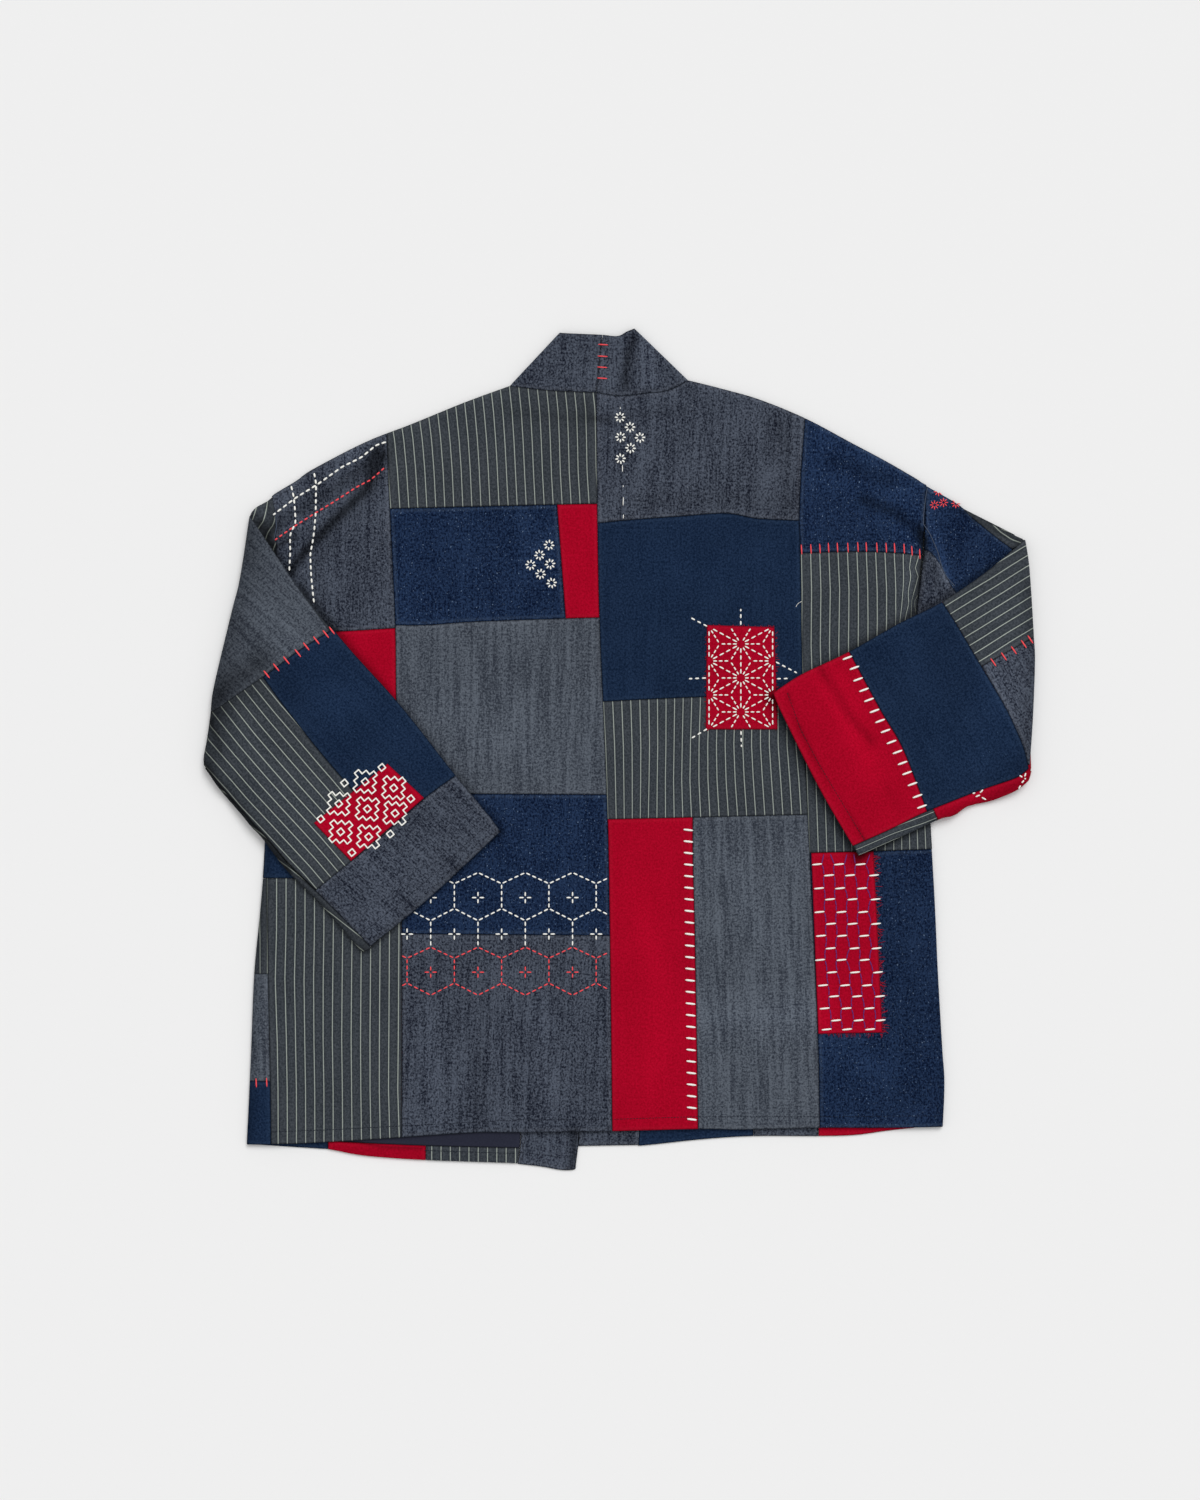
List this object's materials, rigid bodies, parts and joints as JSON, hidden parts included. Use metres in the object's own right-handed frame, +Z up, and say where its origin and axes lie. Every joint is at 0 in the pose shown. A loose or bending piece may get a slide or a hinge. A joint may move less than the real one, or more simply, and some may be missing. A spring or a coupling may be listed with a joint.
{
  "type": "patchwork denim jacket laid flat",
  "caption": "Patchwork jacket of denim, stripe and red twill blocks with white and red sashiko stitching, laid flat on its front with both sleeves folded over the back.",
  "frame": {"origin": "middle of the footprint of the jacket as it lies, on the surface under it", "axes": "+Z is up, away from the surface; +Y points to the collar; +X points to the right sleeve as seen from above"},
  "size_m": [0.7641, 0.7719, 0.0121],
  "materials": {
    "stripe": "charcoal twill with fine pale stripes",
    "indigo": "indigo slub denim",
    "navy": "fine dark navy denim",
    "denim": "grey-blue slub denim",
    "chambray": "grey chambray",
    "red": "red cotton twill",
    "lining": "smooth dark lining"
  },
  "bodies": {
    "root": {"back_yoke_left": "stripe", "back_left_indigo": "indigo", "back_left_red": "red", "back_left_chambray": "chambray", "back_left_indigo_low": "indigo", "back_left_denim": "denim", "back_yoke_right": "denim", "back_right_navy": "navy", "back_right_stripe": "stripe", "back_right_red": "red", "back_right_chambray": "chambray", "side_left_denim": "denim", "side_left_red": "red", "side_left_navy": "navy", "side_left_stripe": "stripe", "side_right_indigo": "indigo", "side_right_stripe": "stripe", "side_right_indigo_low": "indigo", "front_left_upper": "denim", "front_left_side_stripe": "stripe", "front_left_side_chambray": "chambray", "front_left_side_navy": "navy", "front_left_red": "red", "front_left_stripe": "stripe", "front_left_lining": "lining", "front_right_upper": "denim", "front_right_navy": "navy", "front_right_denim": "denim", "front_right_red": "red", "collar_band_left": "denim", "collar_band_right": "denim", "sleeve_left_chambray": "chambray", "sleeve_left_stripe": "stripe", "sleeve_left_navy": "navy", "sleeve_left_cuff": "denim", "sleeve_left_lower": "stripe", "sleeve_left_standing": "stripe", "sleeve_right_stripe": "stripe", "sleeve_right_denim": "denim", "sleeve_right_navy": "navy", "sleeve_right_cuff": "red", "sleeve_right_lower_stripe": "stripe", "sleeve_right_lower_red": "red", "sleeve_right_indigo": "indigo", "sleeve_right_standing_denim": "denim", "sleeve_right_standing_stripe": "stripe", "patch_star": "red", "patch_brick": "red", "patch_flower": "red"}
  },
  "joints": []
}
